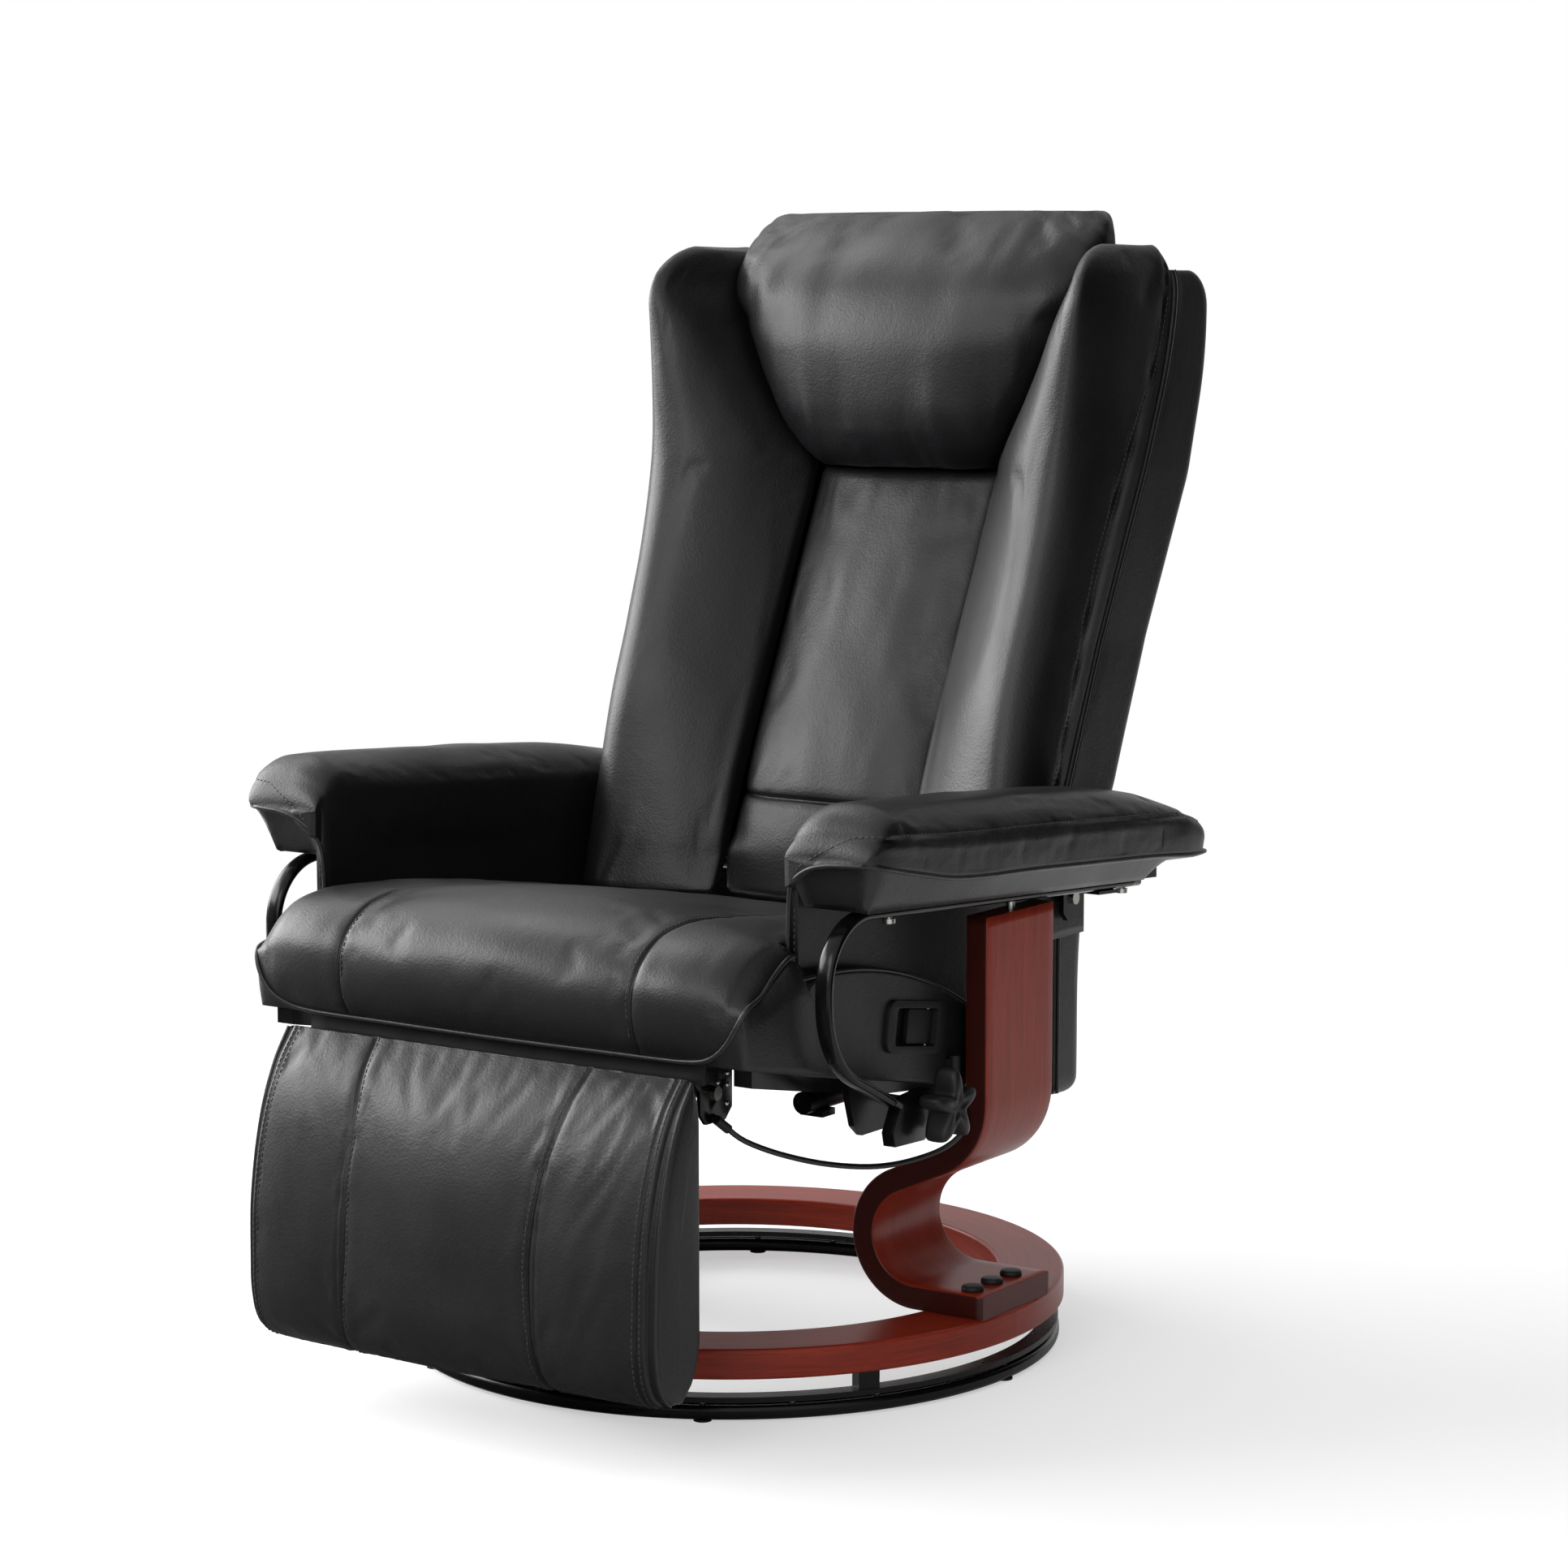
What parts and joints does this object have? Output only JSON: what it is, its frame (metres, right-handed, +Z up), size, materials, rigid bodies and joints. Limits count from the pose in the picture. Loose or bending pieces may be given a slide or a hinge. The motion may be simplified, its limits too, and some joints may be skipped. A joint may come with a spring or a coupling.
{
  "type": "swivel recliner",
  "caption": "Swivel recliner with a padded leather seat, reclining back, head pillow, arm pads and folding footrest on bent wood legs over a turning ring base.",
  "frame": {"origin": "on the floor at the centre of the ring base, on the swivel axis", "axes": "+X to the sitter's left, the side with the release handle; +Y to the back; +Z up"},
  "size_m": [0.691, 0.8964, 1.043],
  "materials": {
    "black_leather": "satin",
    "mahogany_wood": "satin",
    "black_steel": "satin",
    "black_plastic": "matte",
    "zinc_steel": "satin",
    "plywood": "matte",
    "webbing": "matte",
    "slide_plastic": "matte",
    "cable_rubber": "matte"
  },
  "bodies": {
    "floor_base": {"floor_glides": "black_plastic", "floor_ring": "black_steel", "bearing_balls": "zinc_steel"},
    "swivel_base": {"turn_ring": "black_steel", "ring_posts": "black_steel", "wood_ring": "mahogany_wood", "leg_left": "mahogany_wood", "leg_right": "mahogany_wood", "leg_caps": "black_plastic", "leg_bolts": "zinc_steel", "cross_beam": "black_steel", "beam_bolts": "zinc_steel", "runner_pads": "slide_plastic", "side_tube_left": "black_steel", "side_tube_right": "black_steel", "tube_bolts": "zinc_steel", "clamp_bracket_left": "black_steel", "clamp_bracket_right": "black_steel", "arm_board_left": "plywood", "arm_board_right": "plywood", "arm_pad_left": "black_leather", "arm_pad_right": "black_leather", "arm_panel_left": "black_leather", "arm_panel_right": "black_leather", "pivot_bracket_left": "black_steel", "pivot_bracket_right": "black_steel", "pivot_shaft": "zinc_steel"},
    "knob_screw_left": {"clamp_screw_left": "zinc_steel", "knob_left": "black_plastic"},
    "knob_screw_right": {"clamp_screw_right": "zinc_steel", "knob_right": "black_plastic"},
    "seat": {"seat_frame": "black_steel", "seat_webbing": "webbing", "seat_cushion": "black_leather", "seat_side_left": "black_leather", "seat_side_right": "black_leather", "slide_plate_left": "black_steel", "slide_plate_right": "black_steel", "link_pins": "zinc_steel", "handle_bezel": "black_plastic", "paddle_pin": "zinc_steel", "release_cable": "cable_rubber", "cable_glands": "black_plastic", "latch_housing": "black_steel", "footrest_hangers": "black_steel", "hinge_rod": "zinc_steel"},
    "paddle": {"release_paddle": "black_plastic"},
    "footrest_arms": {"swing_arms": "black_steel", "elbow_pins": "zinc_steel"},
    "footrest_links": {"front_links": "black_steel"},
    "footrest_panel": {"footrest_ears": "black_steel", "ear_pins": "zinc_steel", "footrest_board": "plywood", "footrest_pad": "black_leather"},
    "back": {"back_frame": "black_steel", "back_cushion": "black_leather", "bolster_left": "black_leather", "bolster_right": "black_leather", "head_pillow": "black_leather", "rear_shell": "black_leather"}
  },
  "joints": [
    {"name": "swivel", "type": "hinge", "parent": "floor_base", "child": "swivel_base", "pos_m": [0, 0, 0], "axis": [0, 0, 1], "continuous": true},
    {"name": "knob_turn_left", "type": "hinge", "parent": "swivel_base", "child": "knob_screw_left", "pos_m": [0.3, -0.141, 0.277], "axis": [1, 0, 0], "continuous": true},
    {"name": "knob_turn_right", "type": "hinge", "parent": "swivel_base", "child": "knob_screw_right", "pos_m": [-0.3, -0.141, 0.277], "axis": [-1, 0, 0], "continuous": true},
    {"name": "back_recline", "type": "hinge", "parent": "swivel_base", "child": "back", "pos_m": [0, 0.162, 0.413], "axis": [-1, 0, 0], "range_deg": [0, 24.75]},
    {"name": "seat_glide", "type": "slide", "parent": "swivel_base", "child": "seat", "axis": [0, -0.9945, 0.1045], "range_m": [0, 0.0601]},
    {"name": "paddle_pull", "type": "hinge", "parent": "seat", "child": "paddle", "pos_m": [0.2725, -0.09434, 0.33362], "axis": [0, 0.1564, 0.9877], "range_deg": [0, 25], "stiffness_Nm_per_rad": 0.05, "springref_deg": -11.46},
    {"name": "footrest_swing", "type": "hinge", "parent": "seat", "child": "footrest_arms", "pos_m": [0, -0.29, 0.298], "axis": [-1, 0, 0], "range_deg": [0, 70]},
    {"name": "footrest_fold", "type": "hinge", "parent": "footrest_arms", "child": "footrest_links", "pos_m": [0, -0.27693, 0.17369], "axis": [-1, 0, 0], "range_deg": [-140.1, 0]},
    {"name": "footrest_tilt", "type": "hinge", "parent": "footrest_links", "child": "footrest_panel", "pos_m": [0, -0.31139, 0.29384], "axis": [-1, 0, 0], "range_deg": [0, 150.1]}
  ],
  "couplings": [
    {"joint": "seat_glide", "follows": "back_recline", "m_per_rad": 0.13891},
    {"joint": "footrest_fold", "follows": "footrest_swing", "ratio": -2},
    {"joint": "footrest_tilt", "follows": "footrest_swing", "ratio": 2.1429}
  ]
}
